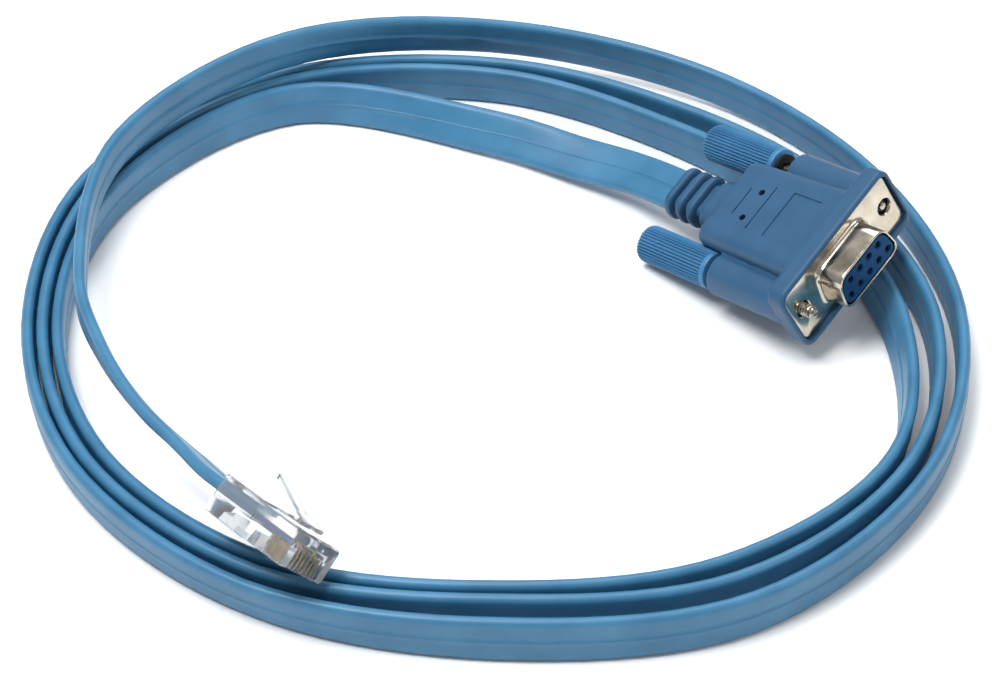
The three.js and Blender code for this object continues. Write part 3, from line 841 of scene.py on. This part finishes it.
# Each side's distance of the knob from the ear at rest
for number, side, rest in ((1, 1, 1.2), (2, -1, 4.4)):
    front = -EAR_LENGTH - rest
    piece(f"knob_{number}", knob_mesh(front, side * SCREW_X), D_PLACE, knob_pvc,
          f"thumbscrew_{number}", [f"thumbscrew_knob_{number}"], sharp=42)
    piece(f"screw_{number}", screw_mesh(front, side * SCREW_X), D_PLACE, screw_nickel,
          f"thumbscrew_{number}", [f"jackscrew_{number}"], sharp=40)

# Clear plug

PLUG_WIDTH, PLUG_HEIGHT = 11.68, 7.1
NOSE_HEIGHT, NOSE_Z = 6.7, -0.1
WAYS = 8
WIRE_PITCH, WIRE_RADIUS, WIRE_Z = 1.02, 0.4, 0.6
FIRST_WAY = (-(WAYS - 1) / 2 * WIRE_PITCH, 0, 0)
WIRE_START = JACKET_END + GAP
WIRE_END = WIRE_START + 9.4
BLADE_FRONT = PLUG_NOSE - 0.9
BLADE_TOP = WIRE_Z - WIRE_RADIUS - GAP / 2
BLADE_LENGTH, BLADE_HEIGHT = 4.6, 3.2


def plug_mesh():
    """Plug body with its jacket slot, wire channel, blade slots and the two crimp pits below."""
    def ring(y, width, height, z=0.0):
        return rectangle_ring(y, width, height, 0.35, z, steps=3)

    solid = loft([
        ring(PLUG_REAR, PLUG_WIDTH - 0.5, PLUG_HEIGHT - 0.5),
        ring(PLUG_REAR + 0.08, PLUG_WIDTH - 0.15, PLUG_HEIGHT - 0.15),
        ring(PLUG_REAR + 0.3, PLUG_WIDTH, PLUG_HEIGHT), ring(0, PLUG_WIDTH, PLUG_HEIGHT),
        ring(0.2, PLUG_WIDTH, NOSE_HEIGHT, NOSE_Z),
        ring(PLUG_NOSE - 0.7, PLUG_WIDTH, NOSE_HEIGHT, NOSE_Z),
        ring(PLUG_NOSE - 0.12, PLUG_WIDTH - 0.55, NOSE_HEIGHT - 0.55, NOSE_Z),
        ring(PLUG_NOSE, PLUG_WIDTH - 0.8, NOSE_HEIGHT - 0.8, NOSE_Z),
    ])
    slot = CABLE_THICKNESS / 2 + GAP
    seat = CABLE_WIDTH / 2 + GAP
    jacket_slot = loft([
        [(a * w, y, JACKET_OFFSET + b * h) for a, b in ((-1, -1), (1, -1), (1, 1), (-1, 1))]
        for y, w, h in (
            (PLUG_REAR - 1, 5.2, slot + 0.5), (PLUG_REAR + 1.2, seat, slot),
            (JACKET_END + GAP / 2, seat, slot),
        )
    ])
    channel_half = WAYS / 2 * WIRE_PITCH + 0.15
    channel = block((-channel_half, channel_half), (JACKET_END, WIRE_END + GAP),
                    (WIRE_Z - WIRE_RADIUS - GAP, WIRE_Z + WIRE_RADIUS + GAP))
    blade_slot = block((-0.31, 0.31), (BLADE_FRONT - BLADE_LENGTH - GAP, PLUG_NOSE + 1),
                       (-PLUG_HEIGHT, BLADE_TOP + 0.15))
    slots = repeated(blade_slot, WAYS, step=(WIRE_PITCH, 0, 0), start=FIRST_WAY,
                     material=plug_clear)

    def pit(half, side_view):
        return loft([[(x, y, z) for y, z in side_view] for x in (-half, half)])

    jacket_pit = pit(3.6, [(-7.6, -5), (-4.4, -5), (-4.7, -1.0), (-6.9, -1.9)])
    core_pit = pit(4.1, [(0.4, -5), (2.6, -5), (2.5, -1.0), (1.2, -1.0)])
    window = block((-2.2, 2.2), (-3.6, -0.6), (-5, -2.4))
    return cut(solid, jacket_slot, channel, slots, jacket_pit, core_pit, window)


def blade_mesh():
    """Eight stamped contact blades with rounded shoulders."""
    low, high = BLADE_TOP - BLADE_HEIGHT + 0.22, BLADE_TOP
    rear, front = BLADE_FRONT - BLADE_LENGTH, BLADE_FRONT
    outline = [(rear, high), (rear, low + 0.5), (rear + 0.15, low + 0.15), (rear + 0.5, low),
               (front - 0.7, low), (front - 0.25, low + 0.15), (front, low + 0.6), (front, high)]
    blade = loft([[(a, y, z) for y, z in outline] for a in (-0.15, 0.15)])
    return repeated(rounded(blade, 0.05, 50), WAYS, step=(WIRE_PITCH, 0, 0), start=FIRST_WAY,
                    material=contact_gold)


LATCH_LENGTH, LATCH_SETBACK, LATCH_ANGLE, LATCH_SAG = 12.2, 3.3, math.radians(19), 0.35
LATCH_ROOT_HALF, LATCH_TAB_HALF = 3.1, 1.65


def latch_mesh():
    """Latch: shoulders at the root, then a narrower tab that bends up to the rear."""
    along, up = math.cos(LATCH_ANGLE), math.sin(LATCH_ANGLE)
    root_y, root_z = PLUG_NOSE - LATCH_SETBACK, NOSE_Z + NOSE_HEIGHT / 2 + GAP + 0.4

    def strip(stretches):
        """Bar through distances from the root, each with its half width and thickness."""
        rings = []
        for s, half, thick in stretches:
            sag = LATCH_SAG * math.sin(math.pi * min(s / LATCH_LENGTH, 1))
            y, z = root_y - s * along, root_z + s * up - sag
            rings.append([
                (a * half, y + b * thick / 2 * up, z + b * thick / 2 * along)
                for a, b in ((-1, -1), (1, -1), (1, 1), (-1, 1))
            ])
        return loft(rings)

    root = strip([(s, LATCH_ROOT_HALF, thick) for s, thick in (
        (0.0, 0.8), (0.6, 0.8), (1.6, 0.85), (2.6, 0.85),
    )] + [(3.2, LATCH_ROOT_HALF - 0.2, 0.8)])
    tab = strip([(s, LATCH_TAB_HALF, thick) for s, thick in (
        (1.5, 0.78), (3.4, 0.78), (6, 0.75), (9, 0.7), (11.4, 0.7),
    )] + [(LATCH_LENGTH, LATCH_TAB_HALF - 0.2, 0.6)])
    return rounded(united(root, tab), 0.12, 40)


JACKET_WIRE_PITCH = 0.96
CORE_RINGS = 14


def core_mesh(way):
    """One core, from its place in the jacket to its blade."""
    rings = []
    for k, t in enumerate(np.linspace(0, 1, CORE_RINGS)):
        ease = min(t / 0.35, 1)
        ease = ease * ease * (3 - 2 * ease)
        pitch = JACKET_WIRE_PITCH + (WIRE_PITCH - JACKET_WIRE_PITCH) * ease
        x, y = (way - (WAYS - 1) / 2) * pitch, WIRE_START + t * (WIRE_END - WIRE_START)
        radius = WIRE_RADIUS if 0 < k < CORE_RINGS - 1 else WIRE_RADIUS - 0.06
        rings.append([(x + a, y, WIRE_Z + b) for a, b in circle(radius, 16)])
    return loft(rings)


plug_body = piece("plug_body", plug_mesh(), PLUG_PLACE, plug_clear, "cable",
                  ["rj45_plug_body"], sharp=25)
plug_latch = piece("plug_latch", latch_mesh(), PLUG_PLACE, plug_clear, "plug_latch",
                   ["rj45_latch"], sharp=30)
plug_blades = piece("plug_blades", blade_mesh(), PLUG_PLACE, contact_gold, "cable",
                    [f"rj45_contact_{i}" for i in range(1, WAYS + 1)])
cores = [
    piece(f"core_{i + 1}", core_mesh(i), PLUG_PLACE, core_pvc[i], "cable",
          [f"conductor_{i + 1}"], sharp=60)
    for i in range(WAYS)
]

# CAD nodes that stay, in their own materials; the washers' near-black colour is painted shade for
# the shadowed gap between knob and ear

for name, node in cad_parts.items():
    for start, material in (("socket_contact", contact_gold), ("screw_washer", washer_steel_painted_gap_shade)):
        if name.startswith(start):
            node.data.materials.clear()
            node.data.materials.append(material)

# Floor and light

FLOOR_HALF, FLOOR_Z = 3, -0.0002
floor_mesh = mesh_of([
    (a * FLOOR_HALF, b * FLOOR_HALF, FLOOR_Z) for a, b in ((-1, -1), (1, -1), (1, 1), (-1, 1))
], [(0, 1, 2, 3)])
matt_white = start_material("matt_white_floor", Roughness=0.9, **{
    "Base Color": hex_linear("#ffffff"),
})[0]
floor_mesh.materials.append(matt_white)
floor = linked("floor", floor_mesh)


def soft_light(name, place, size, watts):
    """Round area light that faces the part."""
    lamp = bpy.data.lights.new(name, "AREA")
    lamp.shape = "DISK"
    lamp.size = size
    lamp.energy = watts
    holder = linked(name, lamp)
    holder.location = place
    holder.rotation_euler = (-Vector(place)).to_track_quat("-Z", "Y").to_euler()


soft_light("key_light", (-0.2, -0.12, 0.64), 0.35, 4.4)
soft_light("fill_light", (0.9, -0.3, 0.8), 0.5, 2.2)
soft_light("top_light", (0.1, 0.6, 1.1), 0.8, 6.4)

studio = bpy.data.worlds.new("studio")
studio.use_nodes = True
background = studio.node_tree.nodes["Background"]
background.inputs["Color"].default_value = (1, 1, 1, 1)
background.inputs["Strength"].default_value = 0.36
scene.world = studio
